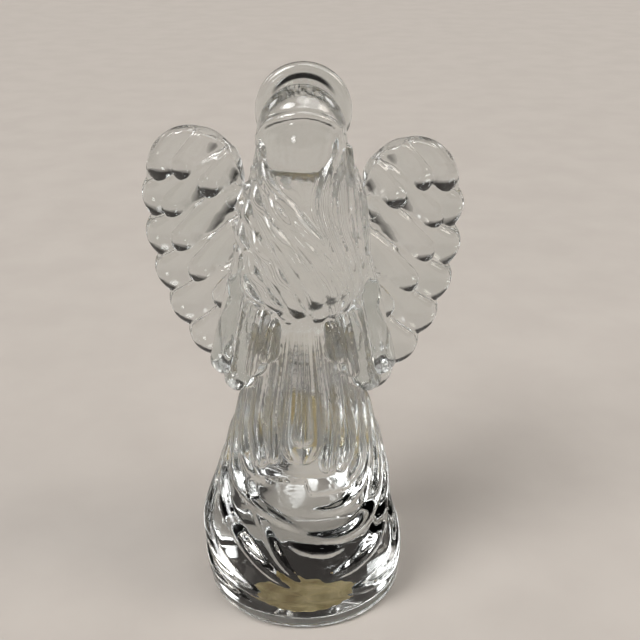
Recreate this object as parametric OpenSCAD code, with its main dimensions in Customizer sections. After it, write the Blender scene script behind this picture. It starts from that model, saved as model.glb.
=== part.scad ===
// Crystal angel figurine: one glass casting, divided at its bond faces into named
// regions, with a foil label stuck in the recess under the foot.
// +Z is up, the face looks along -Y, and the origin is the middle of the rest face.

/* [Foot] */
// Widest diameter of the hem, where the foot meets the robe
hem_d = 58; // [48:1:70]
// Height of the foot, from the rest face to the widest hem
foot_h = 10; // [7:0.5:14]
// Radius of the rounded lower edge
edge_r = 3; // [1.5:0.5:5]
// Width of the flat ring that the figurine rests on
rest_ring_w = 3; // [2:0.5:5]
// Depth of the ground recess inside the ring
recess_depth = 1; // [0.6:0.1:2]

/* [Robe] */
// Height of the robe, from the hem to the waist
robe_h = 74; // [60:1:90]
// Width of the waist
waist_w = 28; // [22:1:34]
// Depth of the waist from front to back
waist_depth = 23; // [18:1:28]
// Number of folds around the robe
fold_count = 14; // [8:1:20]
// Depth of a fold from crest to valley
fold_depth = 1.6; // [0.6:0.2:2.4]

/* [Bust] */
// Height of the bust, from the waist to the neck face
bust_h = 34; // [28:1:42]
// Width across the shoulders
shoulder_w = 33; // [28:1:40]
// How far the hair stands in front of the middle plane
hair_front = 14.5; // [12:0.5:18]
// How far the back stands behind the middle plane
back_depth = 11; // [9:0.5:14]

/* [Head] */
// Height of the crown above the neck face
head_h = 27.6; // [23:0.2:33]
// Width of the head
head_w = 23; // [19:0.5:27]
// Width of the hair at the neck face
neck_w = 30; // [24:1:34]
// Plane behind the head where the halo starts, behind the middle plane
halo_y = 5; // [3:0.5:8]

/* [Halo] */
// Diameter of the halo
halo_d = 25; // [21:0.5:30]
// Thickness of the halo
halo_t = 4; // [3:0.5:6]
// Height of the top of the halo above the crown
halo_rise = 4.4; // [2:0.2:8]

/* [Wings] */
// Distance from one wing's outer edge to the other's
wing_span = 88; // [74:1:104]
// Height of a wing from its lowest feather to its top
wing_h = 75; // [62:1:88]
// How far the top of a wing stands above the neck face
wing_rise = 14.5; // [8:0.5:20]
// How much lower the right wing sits than the left wing
right_wing_drop = 3; // [0:0.5:5]
// Thickness of the outer row of feathers
feather_t = 4; // [3:0.5:6]
// Added thickness of each inner row
row_step = 1.2; // [0.8:0.2:2]
// Angle that a wing sweeps back from the shoulder line
sweep = 12; // [0:1:20]

/* [Sleeves] */
// Height of the lower end of a sleeve below the waist
sleeve_drop = 19; // [12:1:24]
// Width of a sleeve at its open end
sleeve_w = 12.5; // [10:0.5:15]
// Depth of a sleeve at its open end
sleeve_depth = 15; // [11:0.5:18]

/* [Label] */
// Diameter of the foil label
label_d = 22; // [16:0.5:28]
// Thickness of the foil label
label_t = 0.15; // [0.1:0.01:0.3]
// Distance from the label's front edge to the rest ring
label_margin = 4; // [2:0.5:7]

/* [Hidden] */

glass = [0.86, 0.89, 0.9, 0.6];
gold = [0.72, 0.6, 0.34];

hem_r = hem_d / 2;
recess_r = hem_r - edge_r - rest_ring_w;
waist_z = foot_h + robe_h;
neck_z = waist_z + bust_h;
crown_z = neck_z + head_h;
figure_h = crown_z + halo_rise;
around = 56;           // points in a ring of the body
ridge_w = waist_w - 6;              // width of the ridge that joins the wings
ridge_t = feather_t + 4 * row_step; // its thickness, the wings' own at their roots
wing_y = back_depth - 1;            // middle plane of the wings at their roots
reach = ridge_w / 2 + (wing_span - ridge_w) / 2 / cos(sweep); // to a wing's edge, along it
top_r = wing_h * 0.17;              // radius of a wing's rounded top
feather_r = wing_h * 0.085;         // half the width of an outer feather
feather_l = wing_h * 0.4;           // length of a feather
inner_x = waist_w / 2 + feather_r;  // where the lowest feathers end, beside the robe
sleeve_x = waist_w / 2 + sleeve_w * 0.36;  // middle of a sleeve's open end

// ---- helpers ----

// A half turn of an oval ring, or a whole one, at height z.
function oval(rx, front, back, z, from = 0, to = 360, n = around, x0 = 0, y0 = 0) =
    let (whole = to - from == 360, last = whole ? n - 1 : n)
    [for (i = [0:last])
        let (a = from + (to - from) * i / n)
        [x0 + rx * cos(a), y0 + (sin(a) < 0 ? front : back) * sin(a), z]];

// Closed skin over a list of rings that all have the same number of points.
module loft(rings) {
    n = len(rings[0]);
    last = len(rings) - 1;
    polyhedron(
        points = [for (ring = rings) each ring],
        faces = [
            [for (i = [0:n - 1]) i],
            [for (i = [n - 1:-1:0]) last * n + i],
            for (k = [0:last - 1], i = [0:n - 1])
                let (j = (i + 1) % n, a = k * n + i, b = k * n + j)
                each [[a, a + n, b], [b, a + n, b + n]]]);
}

// Share of the flare left at t, from 1 at the hem to 0 at the waist.
function flare(t) = ((1 - t) + pow(cos(90 * t), 2)) / 2;

// Ring of the robe at t; the folds fade out at both ends.
function robe_ring(t) =
    let (
        rx = waist_w / 2 + (hem_r - waist_w / 2) * flare(t),
        ry = waist_depth / 2 + (hem_r - waist_depth / 2) * flare(t),
        fold = fold_depth / 2 * sin(180 * t))
    [for (i = [0:around - 1])
        let (a = 360 * i / around, f = fold * (cos(fold_count * a) - 1))
        [(rx + f) * cos(a), (ry + f) * sin(a), foot_h + robe_h * t]];

// Half width of the bust at t, from the waist to the neck: rounded under, then full, then drawn in.
function bust_swell(t) = pow(sin(90 * min(1, 0.18 + t * 2.1)), 0.8);
function bust_half_w(t) =
    t < 0.75 ? shoulder_w / 2 * bust_swell(t)
             : shoulder_w / 2 + (neck_w - shoulder_w) / 2 * (t - 0.75) / 0.25;
function torso_half_w(t) = (waist_w + (shoulder_w - waist_w) * sin(90 * min(1, t * 1.6))) / 2;

// Half width of the head and its hair at t, from the neck to the crown.
function head_half_w(t) =
    t < 0.54 ? head_w / 2 + (neck_w - head_w) / 2 * pow(1 - t / 0.54, 1.6)
             : head_w / 2 * sqrt(max(0.001, 1 - pow((t - 0.54) / 0.46, 2)));

// Point at t on the curve that starts at a, ends at c and is drawn towards b.
function bend(a, b, c, t) = (1 - t) * (1 - t) * a + 2 * t * (1 - t) * b + t * t * c;

// Share of its full width that a round-ended form has at t, with the round part after from.
function round_end(t, from) = t < from ? 1 : sqrt(max(0.002, 1 - pow((t - from) / (1 - from), 2)));

// ---- glass regions ----

module foot() color(glass)
    rotate_extrude($fn = 96) difference() {
        union() {
            translate([hem_r - edge_r, edge_r]) circle(edge_r, $fn = 48);
            square([hem_r - edge_r, edge_r]);
            translate([0, edge_r]) square([hem_r, foot_h - edge_r]);
        }
        square([recess_r, recess_depth]);
    }

module robe_form()
    loft([for (k = [0:14]) robe_ring(k / 14)]);

module robe() color(glass) robe_form();

// Back half of the bust, with the ridge that both wings spring from.
module torso_form()
    union() {
        loft([for (k = [0:10])
            let (t = k / 10, w = t < 0.75 ? torso_half_w(t) : bust_half_w(t))
            oval(w, 0, back_depth, waist_z + bust_h * t, 0, 180, around / 2)]);
        translate([0, wing_y, waist_z]) linear_extrude(bust_h) {
            square([ridge_w - ridge_t, ridge_t], center = true);
            for (side = [-1, 1]) translate([side * (ridge_w - ridge_t) / 2, 0]) circle(ridge_t / 2, $fn = 40);
        }
    }

module torso() color(glass) torso_form();

// Front half of the bust: the long hair, rounded under like a bowl.
module mantle_form()
    loft([for (k = [0:12])
        let (t = k / 12, w = bust_half_w(t))
        oval(w, hair_front * w * 2 / shoulder_w, 0, waist_z + bust_h * t, 180, 360, around / 2)]);

module mantle() color(glass) mantle_form();

// Crown, face and the hair that frames it, flat behind where the halo starts.
module head() color(glass)
    loft([for (k = [0:18])
        let (t = k / 18, w = head_half_w(t), deep = w * hair_front * 2 / shoulder_w)
        [for (p = oval(w, deep, deep, neck_z + head_h * t, n = 40)) [p.x, min(p.y, halo_y), p.z]]]);

module halo() color(glass)
    translate([0, halo_y, figure_h - halo_d / 2])
        rotate([-90, 0, 0])
            rotate_extrude($fn = 96) {
                square([halo_d / 2 - halo_t / 2, halo_t]);
                translate([halo_d / 2 - halo_t / 2, halo_t / 2])
                    intersection() {
                        circle(halo_t / 2, $fn = 32);
                        translate([0, -halo_t]) square(2 * halo_t);
                    }
            }

// ---- wings ----

// Flat outline of one feather, round at its tip, that points down at angle fall.
module feather(tip, fall, long, r) {
    way = [cos(fall), -sin(fall)];
    side = [way.y, -way.x];
    near = tip - way * (long - r);
    end = tip - way * r;
    translate(end) circle(r, $fn = 40);
    polygon([end + side * r, near + side * r * 0.8, near - side * r * 0.8, end - side * r]);
}

// Feathers whose tips lie along one curve and fan out from falls[0] to falls[1].
module feather_row(tips, falls, count, long, r)
    for (i = [0:count - 1])
        let (t = i / (count - 1))
            feather(bend(tips[0], tips[1], tips[2], t), falls[0] + (falls[1] - falls[0]) * t, long, r);

module wing_layer(thick)
    rotate([90, 0, 0]) linear_extrude(thick, center = true) children();

// One wing on the +X side, with its lowest feather at z = 0 and three rows of feathers.
module wing_plate() {
    wing_layer(feather_t) {
        feather_row([[reach, wing_h * 0.69], [reach * 1.02, wing_h * 0.27], [inner_x, 0.5]],
                    [28, 78], 6, feather_l, feather_r);
        translate([reach - top_r * 1.14, wing_h - top_r]) circle(top_r, $fn = 72);
        translate([reach - top_r * 1.7, wing_h - top_r * 1.6]) circle(top_r, $fn = 72);
    }
    wing_layer(feather_t + 2 * row_step)
        feather_row([[reach * 0.83, wing_h * 0.68], [reach * 0.76, wing_h * 0.42], [inner_x, wing_h * 0.24]],
                    [34, 76], 5, feather_l * 0.9, feather_r * 0.9);
    wing_layer(feather_t + 4 * row_step)
        feather_row([[reach * 0.74, wing_h * 0.82], [reach * 0.64, wing_h * 0.66], [reach * 0.46, wing_h * 0.5]],
                    [42, 66], 4, feather_l * 0.62, feather_r * 0.9);
}

// A wing where it belongs, swept back about its root, clear of the body it grows from.
module placed_wing(drop, sign)
    difference() {
        mirror([sign < 0 ? 1 : 0, 0, 0])
            translate([ridge_w / 2, wing_y, neck_z + wing_rise - wing_h - drop])
                rotate([0, 0, sweep]) translate([-ridge_w / 2, 0, 0]) wing_plate();
        robe_form();
        torso_form();
    }

module left_wing() color(glass) placed_wing(0, -1);
module right_wing() color(glass) placed_wing(right_wing_drop, 1);

// ---- sleeves ----

// A hanging lobe that widens downwards and ends round, from top to low, both [x, y, z].
module lobe(top, low, w, depth)
    loft([for (k = [14:-1:0])
        let (t = sin(90 * k / 14), c = top + (low - top) * t, s = (0.4 + 0.6 * pow(t, 0.6)) * round_end(t, 0.84))
        oval(w / 2 * s, depth / 2 * s, depth / 2 * s, c.z, n = 28, x0 = c.x, y0 = c.y)]);

module placed_sleeve(sign) {
    low_z = waist_z - sleeve_drop;
    difference() {
        mirror([sign < 0 ? 1 : 0, 0, 0]) union() {
            lobe([shoulder_w * 0.43, -2, neck_z - 6], [sleeve_x, -3.5, low_z], sleeve_w, sleeve_depth);
            lobe([shoulder_w * 0.4, -7, neck_z - 12], [sleeve_x - sleeve_w * 0.45, -9.5, low_z + 5],
                 sleeve_w * 0.75, sleeve_depth * 0.6);
        }
        robe_form();
        torso_form();
        mantle_form();
    }
}

module left_sleeve() color(glass) placed_sleeve(-1);
module right_sleeve() color(glass) placed_sleeve(1);

// ---- label ----

module foil_label() color(gold)
    translate([0, label_margin + label_d / 2 - recess_r, recess_depth - label_t])
        cylinder(h = label_t, d = label_d, $fn = 72);

foot();
robe();
torso();
mantle();
head();
halo();
left_wing();
right_wing();
left_sleeve();
right_sleeve();
foil_label();
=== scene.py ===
"""Crystal angel figurine: one clear casting in named regions, and the foil label under it."""

import logging
import math
from collections.abc import Iterable, Sequence
from dataclasses import dataclass, replace
from enum import Enum
from typing import ClassVar

import bpy
import numpy as np
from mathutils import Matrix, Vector
from mathutils.bvhtree import BVHTree


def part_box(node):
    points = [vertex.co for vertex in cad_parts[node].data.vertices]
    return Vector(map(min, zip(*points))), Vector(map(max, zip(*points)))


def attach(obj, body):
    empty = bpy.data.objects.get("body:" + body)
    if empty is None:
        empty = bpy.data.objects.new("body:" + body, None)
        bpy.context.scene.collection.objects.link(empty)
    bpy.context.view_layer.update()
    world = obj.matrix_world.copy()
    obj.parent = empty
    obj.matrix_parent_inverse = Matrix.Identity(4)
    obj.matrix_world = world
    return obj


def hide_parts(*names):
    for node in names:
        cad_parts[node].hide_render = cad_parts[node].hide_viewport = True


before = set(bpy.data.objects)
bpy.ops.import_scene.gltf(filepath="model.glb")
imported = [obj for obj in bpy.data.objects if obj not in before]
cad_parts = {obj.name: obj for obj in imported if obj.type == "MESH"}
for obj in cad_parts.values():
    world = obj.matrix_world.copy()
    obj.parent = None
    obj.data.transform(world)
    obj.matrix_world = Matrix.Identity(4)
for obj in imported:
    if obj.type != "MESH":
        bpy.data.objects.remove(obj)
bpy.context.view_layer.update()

MM = 0.001
LOG = logging.getLogger("angel")

Array = np.ndarray
Form = bpy.types.Object
Tree = bpy.types.NodeTree
Colour = tuple[float, float, float, float]

# Radius in millimetres at which one degree of arc is one millimetre long.
FLAT_RADIUS = 180.0 / math.pi
# A roll that is as tall at its ends as it is along its way.
NO_MELT = (0.0, 0.0)
# How far the cutters reach past the glass: sideways, down and up, in millimetres.
CUT_FAR, CUT_LOW, CUT_TOP = 120.0, -5.0, 160.0


# ---------------------------------------------------------------- mesh tools


def only(*chosen: Form) -> None:
    """Select some objects alone and make the first one active.

    Args:
        chosen: The objects, at least one.
    """
    bpy.ops.object.select_all(action="DESELECT")
    for obj in chosen:
        obj.select_set(True)
    bpy.context.view_layer.objects.active = chosen[0]


def apply_modifier(obj: Form, kind: str, **settings: object) -> None:
    """Add one modifier to an object and apply it.

    Args:
        obj: The object.
        kind: The modifier's type.
        settings: The modifier's settings.
    """
    only(obj)
    modifier = obj.modifiers.new(kind.lower(), kind)
    for key, value in settings.items():
        setattr(modifier, key, value)
    bpy.ops.object.modifier_apply(modifier=modifier.name)


def read(items: bpy.types.bpy_prop_collection, name: str, width: int = 1,
         kind: type = np.float32) -> Array:
    """Read one property of all vertices, faces or loops of a mesh.

    Args:
        items: The vertices, faces or loops.
        name: Name of the property.
        width: How many values each item has.
        kind: Type of the values.

    Returns:
        One value for each item, or one row where it has several.
    """
    flat = np.empty(len(items) * width, dtype=kind)
    items.foreach_get(name, flat)
    return flat.reshape(-1, width) if width > 1 else flat


def positions(obj: Form) -> Array:
    """Return the vertex positions in millimetres, one row each."""
    return read(obj.data.vertices, "co", 3, np.float64) / MM


def move_to(obj: Form, points: Array) -> None:
    """Put the vertices at these positions, given in millimetres."""
    obj.data.vertices.foreach_set("co", (points * MM).astype(np.float32).ravel())
    obj.data.update()


def volume(obj: Form) -> float:
    """Return a closed mesh's volume in cubic metres, negative where its faces point inwards."""
    faces = obj.data.polygons
    height = (read(faces, "normal", 3) * read(faces, "center", 3)).sum(axis=1)
    return float((height * read(faces, "area")).sum() / 3.0)


def weld(obj: Form, gap_mm: float = 0.004) -> None:
    """Merge vertices closer than a gap, and drop the faces that this leaves without area.

    Args:
        obj: The object.
        gap_mm: The gap in millimetres.
    """
    only(obj)
    bpy.ops.object.mode_set(mode="EDIT")
    bpy.ops.mesh.select_all(action="SELECT")
    bpy.ops.mesh.remove_doubles(threshold=gap_mm * MM)
    bpy.ops.mesh.dissolve_degenerate(threshold=gap_mm * MM)
    bpy.ops.object.mode_set(mode="OBJECT")


def without_crumbs(obj: Form) -> Form:
    """Keep only an object's largest part, and remove the crumbs that a cut left beside it.

    Args:
        obj: The object, which may be replaced.

    Returns:
        The largest part, under the same name.
    """
    name = obj.name
    only(obj)
    bpy.ops.object.mode_set(mode="EDIT")
    bpy.ops.mesh.select_all(action="SELECT")
    bpy.ops.mesh.separate(type="LOOSE")
    bpy.ops.object.mode_set(mode="OBJECT")
    *crumbs, largest = sorted(bpy.context.selected_objects, key=lambda part: len(part.data.vertices))
    for crumb in crumbs:
        LOG.info("%s: a crumb of %d vertices removed", name, len(crumb.data.vertices))
        bpy.data.objects.remove(crumb)
    largest.name = name
    return largest


# ---------------------------------------------------------------- curves and reliefs


def step_up(value: Array, start: float | Array, width: float) -> Array:
    """Return 0 below start, 1 from start + width on, and a straight rise between them."""
    return np.clip((value - start) / width, 0.0, 1.0)


def eased(share: Array) -> Array:
    """Return a share from 0 to 1 that leaves 0 and reaches 1 gently."""
    return share * share * (3.0 - 2.0 * share)


def from_front(angle: Array) -> Array:
    """Turn an angle about +Z into degrees from the front, positive towards +X."""
    degrees = np.degrees(angle) + 90.0
    return (degrees + 180.0) % 360.0 - 180.0


def turned(points: Array, degrees: float) -> Array:
    """Turn points about the Z axis.

    Args:
        points: The points, one row each.
        degrees: The turn, from +X towards +Y.

    Returns:
        The turned points.
    """
    c, s = math.cos(math.radians(degrees)), math.sin(math.radians(degrees))
    x, y, z = points.T
    return np.stack([x * c - y * s, x * s + y * c, z], axis=1)


def smooth_curve(route: Sequence[tuple[float, float]], steps: int = 6) -> Array:
    """Return points on a smooth curve through the route's own points.

    Args:
        route: The points that the curve goes through.
        steps: Number of steps between two of them.

    Returns:
        The curve's points, one row each.
    """
    p = np.array([route[0], *route, route[-1]], dtype=float)
    p[0] = 2 * p[1] - p[2]
    p[-1] = 2 * p[-2] - p[-3]
    out = []
    for k in range(1, len(p) - 2):
        a, b, c, d = p[k - 1:k + 3]
        for t in np.arange(steps) / steps:
            bend = (2 * a - 5 * b + 4 * c - d) * t**2 + (3 * b - a - 3 * c + d) * t**3
            out.append(0.5 * (2 * b + (c - a) * t + bend))
    out.append(p[-2])
    return np.array(out)


@dataclass(frozen=True)
class Roll:
    """A rounded fold or strand that stands on a turned surface.

    Its route is given by points of angle round the form, in degrees from the front towards
    +X, and height in millimetres. Its half width and its rise go from the first value at the
    route's start to the second at its end. The melt is the share of the route over which the
    roll sinks into the surface, at its start and at its end. A roll may also swell and shrink
    along its way, as a twisted lock of hair does, or lean, with one of its sides the higher.
    A low fullness gives it a flat top and steep sides.

    REACH is how far above and below its route a roll can still be found, SWELL_DEPTH half of
    what a swell takes off its rise, END_WIDTH what is left of its width where it has melted,
    and TINY keeps divisions from zero.
    """

    route: tuple[tuple[float, float], ...]
    half_width: tuple[float, float]
    rise: tuple[float, float]
    melt: tuple[float, float] = NO_MELT
    swells: float = 0.0
    lean: float = 0.0
    fullness: float = 0.55

    REACH: ClassVar[float] = 8.0
    SWELL_DEPTH: ClassVar[float] = 0.22
    END_WIDTH: ClassVar[float] = 0.45
    TINY: ClassVar[float] = 1e-9

    def height(self, angle: Array, z: Array, radius: Array) -> Array:
        """Return how far the roll stands above the surface at each point.

        Args:
            angle: Angle of each point from the front, in degrees.
            z: Height of each point.
            radius: Mean radius of the form there, which turns angles to lengths.

        Returns:
            The rise in millimetres, 0 off the roll.
        """
        curve = smooth_curve(self.route)
        best = np.zeros_like(z)
        last = len(curve) - 1
        low, high = curve[:, 1].min() - self.REACH, curve[:, 1].max() + self.REACH
        near = np.nonzero((z > low) & (z < high))[0]
        z, angle, arc = z[near], angle[near], radius[near] * math.pi / 180.0
        for k in range(last):
            (a0, z0), (a1, z1) = curve[k], curve[k + 1]
            dx, dz = (a1 - a0) * arc, z1 - z0
            px, pz = ((angle - a0 + 180.0) % 360.0 - 180.0) * arc, z - z0
            t = np.clip((px * dx + pz * dz) / (dx * dx + dz * dz + self.TINY), 0.0, 1.0)
            gap = np.hypot(px - t * dx, pz - t * dz)
            side = (px * dz - pz * dx) / (np.hypot(dx, dz) + self.TINY)
            best[near] = np.maximum(best[near], self.section((k + t) / last, gap, side))
        return best

    def section(self, way: Array, gap: Array, side: Array) -> Array:
        """Return the roll's rise across its own section.

        Args:
            way: Share of the route at each point.
            gap: Distance from the route.
            side: The same distance, signed by the side of the route.

        Returns:
            The rise in millimetres.
        """
        ease = self.ease(way)
        swell = 1.0 - self.SWELL_DEPTH * (1.0 - np.cos(2.0 * np.pi * self.swells * way))
        wide = self.half_width[0] + (self.half_width[1] - self.half_width[0]) * way
        wide = wide * (self.END_WIDTH + (1.0 - self.END_WIDTH) * ease) + self.TINY
        tall = (self.rise[0] + (self.rise[1] - self.rise[0]) * way) * ease * swell
        tall = tall * (1.0 + self.lean * np.clip(side / wide, -1.0, 1.0))
        return tall * np.clip(1.0 - (gap / wide) ** 2, 0.0, 1.0) ** self.fullness

    def ease(self, way: Array) -> Array:
        """Return how much of the roll is left at each share of its route.

        Args:
            way: The shares.

        Returns:
            1 along the roll, falling to 0 at an end that melts.
        """
        if self.melt == NO_MELT:
            return np.ones_like(way)
        start, end = (max(share, 1e-6) for share in self.melt)
        return eased(np.clip(np.minimum(way / start, (1.0 - way) / end), 0.0, 1.0))


def relief(rolls: Iterable[Roll], angle: Array, z: Array, radius: Array) -> Array:
    """Return the rise of the highest roll at each point.

    Args:
        rolls: The rolls.
        angle: Angle of each point from the front, in degrees.
        z: Height of each point.
        radius: Mean radius of the form there.

    Returns:
        The rise in millimetres, 0 off all rolls.
    """
    out = np.zeros_like(z)
    for roll in rolls:
        out = np.maximum(out, roll.height(angle, z, radius))
    return out


@dataclass(frozen=True)
class Bulge:
    """A soft rise round one place on a turned surface, or a hollow where it is negative."""

    at: tuple[float, float]
    spread: tuple[float, float]
    rise: float

    def height(self, angle: Array, z: Array, radius: Array) -> Array:
        """Return the rise at each point.

        Args:
            angle: Angle of each point from the front, in degrees.
            z: Height of each point.
            radius: Mean radius of the form there.

        Returns:
            The rise in millimetres.
        """
        across = (angle - self.at[0]) * (radius * math.pi / 180.0) / self.spread[0]
        return self.rise * np.exp(-(across**2) - ((z - self.at[1]) / self.spread[1]) ** 2)


# ---------------------------------------------------------------- the casting's forms


class ClosedForm:
    """A closed form made from a sphere, whose vertices a rule puts in their places."""

    NAME: ClassVar[str]
    FACES: ClassVar[tuple[int, int]]

    def rule(self, angle: Array, share: Array) -> Array:
        """Place the vertices; each form has its own rule, with these arguments.

        Args:
            angle: Angle of each vertex round the sphere, in radians, from +X towards +Y.
            share: Share of the way from the sphere's lower pole to its upper one.

        Returns:
            Positions in millimetres, one row each.
        """
        raise NotImplementedError

    def shape(self) -> Form:
        """Return the form as an object at the origin, with its faces outwards."""
        around, along = self.FACES
        bpy.ops.object.select_all(action="DESELECT")
        bpy.ops.mesh.primitive_uv_sphere_add(segments=around, ring_count=along, radius=1.0, calc_uvs=False)
        obj = bpy.context.object
        obj.name = self.NAME
        x, y, z = (positions(obj) * MM).T
        move_to(obj, self.rule(np.arctan2(y, x), np.arcsin(np.clip(z, -1.0, 1.0)) / math.pi + 0.5))
        if volume(obj) < 0.0:
            obj.data.flip_normals()
        LOG.info("%s shaped", self.NAME)
        return obj


@dataclass
class RobeForm(ClosedForm):
    """Foot and robe: a flared, turned body with swagged folds in front and flutes behind.

    The stops are shares of the way from the underside's middle to the top. They end the
    recess's ceiling, its wall, the ground ring, the rounded edge, the hem and the side.
    """

    NAME = "robe_form"
    FACES = (320, 240)

    hem_radius: float
    waist_z: float
    hem_z: float = 10.0
    hem_inset: float = 0.6
    hem_share: float = 0.6
    waist_half: tuple[float, float] = (14.0, 11.5)
    recess_radius: float = 23.0
    recess_depth: float = 1.0
    recess_taper: float = 0.3
    ring_radius: float = 26.0
    edge_radius: float = 3.4
    inside_top: float = 8.0
    stops: tuple[float, ...] = (0.0, 0.10, 0.106, 0.13, 0.19, 0.22, 0.97, 1.0)

    tier_z: float = 43.0
    tier_step: float = 3.5
    tier_rise: float = 0.7
    tier_edge: float = 0.7
    tier_middle: float = -4.0
    tier_half: float = 44.0
    sink: float = 1.0
    front_sink: float = 0.6
    front_half: float = 62.0

    flutes: int = 7
    flutes_from: float = 117.0
    flute_step: float = 21.0
    flute_sway: float = 5.0
    flute_low: float = 18.0

    hips: tuple[Bulge, ...] = (
        Bulge((-88, 23), (16, 10), 2.0),
        Bulge((90, 27), (12, 7), -1.6),
    )
    upper_rolls: tuple[Roll, ...] = (
        Roll(((0, 92), (0, 78), (0, 66), (-1, 54)), (2.4, 6.0), (1.5, 2.3)),
        Roll(((1, 88), (1, 74), (1, 62), (0, 56)), (1.0, 3.0), (2.0, 3.7)),
        Roll(((-21, 92), (-26, 76), (-29, 62), (-25, 50)), (1.3, 2.2), (1.3, 2.2)),
        Roll(((-38, 90), (-44, 72), (-45, 58), (-36, 49)), (1.7, 3.2), (1.5, 3.0)),
        Roll(((-56, 86), (-63, 68), (-60, 53), (-44, 44), (-20, 42)),
             (1.6, 2.2), (1.3, 2.0), (0.0, 0.3)),
        Roll(((19, 92), (24, 74), (26, 60), (20, 48)), (1.4, 2.3), (1.4, 2.4)),
        Roll(((36, 90), (40, 70), (39, 54), (26, 44)), (1.6, 2.7), (1.5, 2.7), (0.0, 0.2)),
        Roll(((54, 86), (56, 64), (48, 48), (28, 39)), (1.6, 2.7), (1.5, 2.6), (0.0, 0.3)),
    )
    swag_rolls: tuple[Roll, ...] = (
        Roll(((70, 76), (66, 54), (50, 42), (28, 35.5), (-6, 35.5)),
             (2.0, 2.0), (1.7, 1.7), (0.1, 0.5)),
        Roll(((80, 68), (75, 46), (55, 33), (28, 27.5), (-10, 29)),
             (2.3, 2.5), (1.8, 2.2), (0.1, 0.45)),
        Roll(((88, 58), (80, 38), (60, 26), (36, 18.5), (8, 15)), (2.6, 2.8), (1.9, 2.4), (0.1, 0.4)),
        Roll(((92, 44), (88, 26), (72, 13), (47, 9.5), (20, 10)), (2.7, 2.7), (1.9, 2.4), (0.1, 0.35)),
        Roll(((-74, 70), (-73, 52), (-59, 41), (-37, 36), (-12, 32), (8, 28)),
             (2.1, 1.8), (1.8, 1.7), (0.1, 0.5)),
        Roll(((-84, 60), (-80, 42), (-64, 32), (-41, 24), (-20, 17), (2, 12)),
             (2.2, 2.5), (1.8, 2.2), (0.1, 0.4)),
        Roll(((-52, 48), (-38, 37), (-24, 28), (-12, 20), (2, 14)), (1.4, 1.6), (1.2, 1.3), (0.2, 0.4)),
        Roll(((-94, 48), (-90, 30), (-70, 17), (-45, 11), (-14, 8)),
             (2.4, 2.4), (1.9, 2.1), (0.1, 0.35)),
        Roll(((-106, 36), (-102, 20), (-80, 9), (-51, 6), (-18, 5)),
             (2.3, 2.0), (1.7, 1.5), (0.1, 0.35)),
        Roll(((30, 24), (16, 23.5), (0, 24.5), (-12, 26.5)), (1.6, 1.2), (1.0, 0.7), (0.4, 0.5)),
    )

    def half_axes(self, z: Array) -> tuple[Array, Array]:
        """Return the half width and half depth of the plain body at each height."""
        t = step_up(z, self.hem_z, self.waist_z - self.hem_z)
        flare = ((1.0 - t) + np.cos(np.pi / 2 * t) ** 2) / 2.0
        wide, deep = (half + (self.hem_radius - self.hem_inset - half) * flare for half in self.waist_half)
        return wide, deep

    def outline(self, share: Array) -> tuple[Array, Array]:
        """Return the body's plain outline.

        Args:
            share: Share of the way from the underside's middle to the top.

        Returns:
            A factor on the body's radius, and a height.
        """
        stops = np.array(self.stops)
        ring, top = self.ring_radius, self.waist_z + self.inside_top
        under = [0.0, self.recess_radius, self.recess_radius + self.recess_taper, ring]
        height = [self.recess_depth, self.recess_depth, 0.0, 0.0,
                  self.edge_radius, self.hem_z * self.hem_share, top, top]
        z = np.interp(share, stops, height)
        body = self.half_axes(z)[0]
        r = np.where(share >= stops[4], body, np.interp(share, stops[:4], under))
        turn = step_up(share, stops[3], stops[4] - stops[3]) * np.pi / 2
        on_edge = (share > stops[3]) & (share < stops[4])
        r = np.where(on_edge, ring + (body - ring) * np.sin(turn), r)
        z = np.where(on_edge, self.edge_radius * (1.0 - np.cos(turn)), z)
        r = np.where(share > stops[6], body * (1.0 - share) / (1.0 - stops[6]), r)
        return r / body, z

    def rolls(self) -> tuple[Roll, ...]:
        """Return every fold: the front's own ones and an even row of flutes behind."""
        back = []
        for k in range(self.flutes):
            at = self.flutes_from + k * self.flute_step
            # The two waves keep neighbouring flutes from leaning and ending alike.
            lean = self.flute_sway * math.sin(k * 1.7)
            low = self.flute_low + self.flute_sway * math.cos(k * 2.3)
            route = ((at, 80), (at + lean, 60), (at + lean * 0.4, 34), (at, low))
            back.append(Roll(route, (2.4, 3.8), (1.1, 2.1), (0.35, 0.25)))
        return self.upper_rolls + self.swag_rolls + tuple(back)

    def rule(self, angle: Array, share: Array) -> Array:
        """Place the vertices of the body, with its folds."""
        factor, z = self.outline(share)
        wide, deep = self.half_axes(z)
        front = from_front(angle)
        mean = (wide + deep) / 2
        edge = self.tier_z - self.tier_step * step_up(front, 2.0, 3.0)
        inside = step_up(self.tier_half - np.abs(front - self.tier_middle), 0.0, 5.0)
        tier = self.tier_rise * step_up(z, edge, self.tier_edge) * inside
        lift = np.maximum(relief(self.rolls(), front, z, mean), tier)
        for hip in self.hips:
            lift = lift + hip.height(front, z, mean)
        ground = self.sink + self.front_sink * step_up(self.front_half - np.abs(front), 0.0, 20.0)
        lift = (lift - ground) * (step_up(z, 1.0, 7.0) * step_up(factor, 0.8, 0.2))
        x = (wide * factor + lift) * np.cos(angle)
        y = (deep * factor + lift) * np.sin(angle)
        return np.stack([x, y, z], axis=1)


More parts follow.
